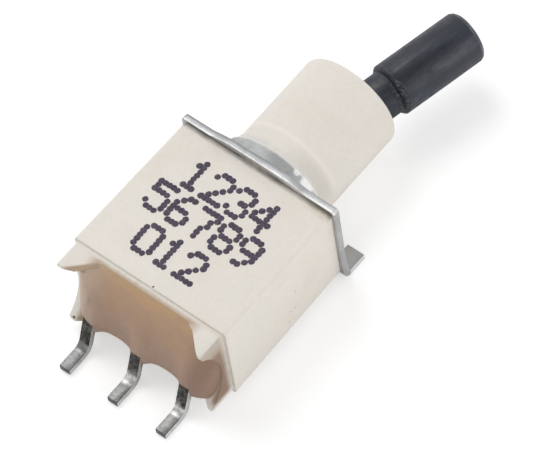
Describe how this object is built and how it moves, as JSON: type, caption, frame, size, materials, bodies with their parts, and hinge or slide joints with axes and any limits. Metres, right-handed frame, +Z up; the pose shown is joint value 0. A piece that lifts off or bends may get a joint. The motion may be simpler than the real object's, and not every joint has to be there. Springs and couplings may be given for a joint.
{
  "type": "toggle switch",
  "caption": "Right-angle sealed toggle switch: cream case with a plain bushing, black lever, tinned sheet bracket with solder feet and gull-wing terminals.",
  "frame": {"origin": "middle of the sole of the centre terminal's solder foot, on the board plane", "axes": "+Z up from the board; the bushing and lever point to -Y; the terminals leave the case to +Y; +X along the row of terminals"},
  "size_m": [0.0082, 0.0215, 0.0053],
  "materials": {
    "case": "satin moulded thermoplastic, cream",
    "bracket": "tin-plated sheet steel",
    "lever": "fine matt moulded plastic, black",
    "pin": "ground stainless steel",
    "seal": "nitrile rubber",
    "plunger": "natural nylon",
    "spring": "drawn spring wire",
    "rocker": "copper alloy strip",
    "contact": "silver",
    "terminal": "tinned copper alloy, solder-dipped",
    "base": "moulded thermoset",
    "potting": "cured epoxy resin"
  },
  "bodies": {
    "case": {"housing": "case", "bracket": "bracket", "seal_ring": "seal", "terminal_common": "terminal", "terminal_left": "terminal", "terminal_right": "terminal", "fixed_head_left": "contact", "fixed_head_right": "contact", "base": "base", "potting": "potting"},
    "toggle": {"lever": "lever", "pivot_pin": "pin", "plunger": "plunger", "spring": "spring"},
    "contact_rocker": {"rocker": "rocker", "rocker_head_left": "contact", "rocker_head_right": "contact"}
  },
  "joints": [
    {"name": "lever_throw", "type": "hinge", "parent": "case", "child": "toggle", "pos_m": [0, -0.01211, 0.00265], "axis": [0, 0, 1], "range_deg": [0, 26]},
    {"name": "rocker_tilt", "type": "hinge", "parent": "case", "child": "contact_rocker", "pos_m": [0, -0.00574, 0.00265], "axis": [0, 0, 1], "range_deg": [-13, 0]}
  ],
  "couplings": [
    {"joint": "rocker_tilt", "follows": "lever_throw", "ratio": -0.5}
  ]
}
